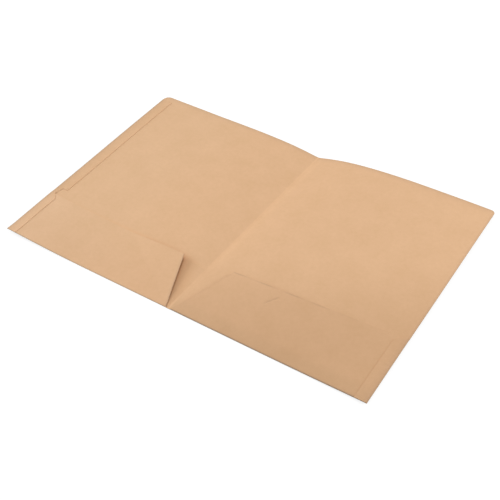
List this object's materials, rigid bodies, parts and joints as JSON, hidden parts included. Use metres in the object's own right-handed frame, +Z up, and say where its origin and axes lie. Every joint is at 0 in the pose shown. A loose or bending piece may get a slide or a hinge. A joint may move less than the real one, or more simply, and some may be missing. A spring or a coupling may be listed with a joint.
{
  "type": "pocket folder",
  "caption": "Open kraft board file folder with a creased spine, an inside pocket on each leaf and a folded tab strip on the wider back leaf.",
  "frame": {"origin": "under the middle of the open folder, on the surface that it lies on; the spine's crease is the line x = 7.15 mm, z = 0", "axes": "+X from the back leaf to the front leaf, +Y along the crease from the pockets to the open end, +Z up from the table"},
  "size_m": [0.4684, 0.2986, 0.021],
  "materials": {
    "kraft_board": "matt unbleached kraft board",
    "kraft_fold": "matt kraft board, its fibres stretched at the fold"
  },
  "bodies": {
    "back": {"back_leaf": "kraft_board", "back_hem": "kraft_fold", "back_pocket_panel": "kraft_board", "back_flap_fold": "kraft_fold", "back_glue_flap": "kraft_board", "tab_fold": "kraft_fold", "tab_strip": "kraft_board"},
    "back_supple": {"back_supple_band": "kraft_board"},
    "front_supple": {"front_supple_band": "kraft_board"},
    "front": {"front_leaf": "kraft_board", "front_hem": "kraft_fold", "front_pocket_panel": "kraft_board", "front_flap_fold": "kraft_fold", "front_glue_flap": "kraft_board"},
    "back_mouth": {"back_pocket_mouth": "kraft_board"},
    "front_mouth": {"front_pocket_mouth": "kraft_board"}
  },
  "joints": [
    {"name": "back_flex", "type": "hinge", "parent": "back", "child": "back_supple", "pos_m": [0.00475, -0.13925, 0.0002], "axis": [0.1627, -0.9863, -0.027], "range_deg": [0, 8]},
    {"name": "spine_fold", "type": "hinge", "parent": "back_supple", "child": "front_supple", "pos_m": [0.00715, 0, 0.00125], "axis": [0, -1, 0], "range_deg": [0, 156]},
    {"name": "front_flex", "type": "hinge", "parent": "front_supple", "child": "front", "pos_m": [0.00955, -0.13925, 0.0002], "axis": [-0.1627, -0.9863, -0.0268], "range_deg": [0, 12]},
    {"name": "back_mouth_bend", "type": "hinge", "parent": "back", "child": "back_mouth", "pos_m": [0.00395, -0.14925, 0.0009], "axis": [-0.8503, 0.5257, 0.0268], "range_deg": [0, 7]},
    {"name": "front_mouth_bend", "type": "hinge", "parent": "front", "child": "front_mouth", "pos_m": [0.01035, -0.14925, 0.0009], "axis": [-0.9156, -0.402, -0.0116], "range_deg": [0, 1.9]}
  ],
  "couplings": [
    {"joint": "back_flex", "follows": "spine_fold", "ratio": 0.05128},
    {"joint": "front_flex", "follows": "spine_fold", "ratio": 0.07692},
    {"joint": "back_mouth_bend", "follows": "spine_fold", "ratio": 0.04487},
    {"joint": "front_mouth_bend", "follows": "spine_fold", "ratio": 0.01218}
  ]
}
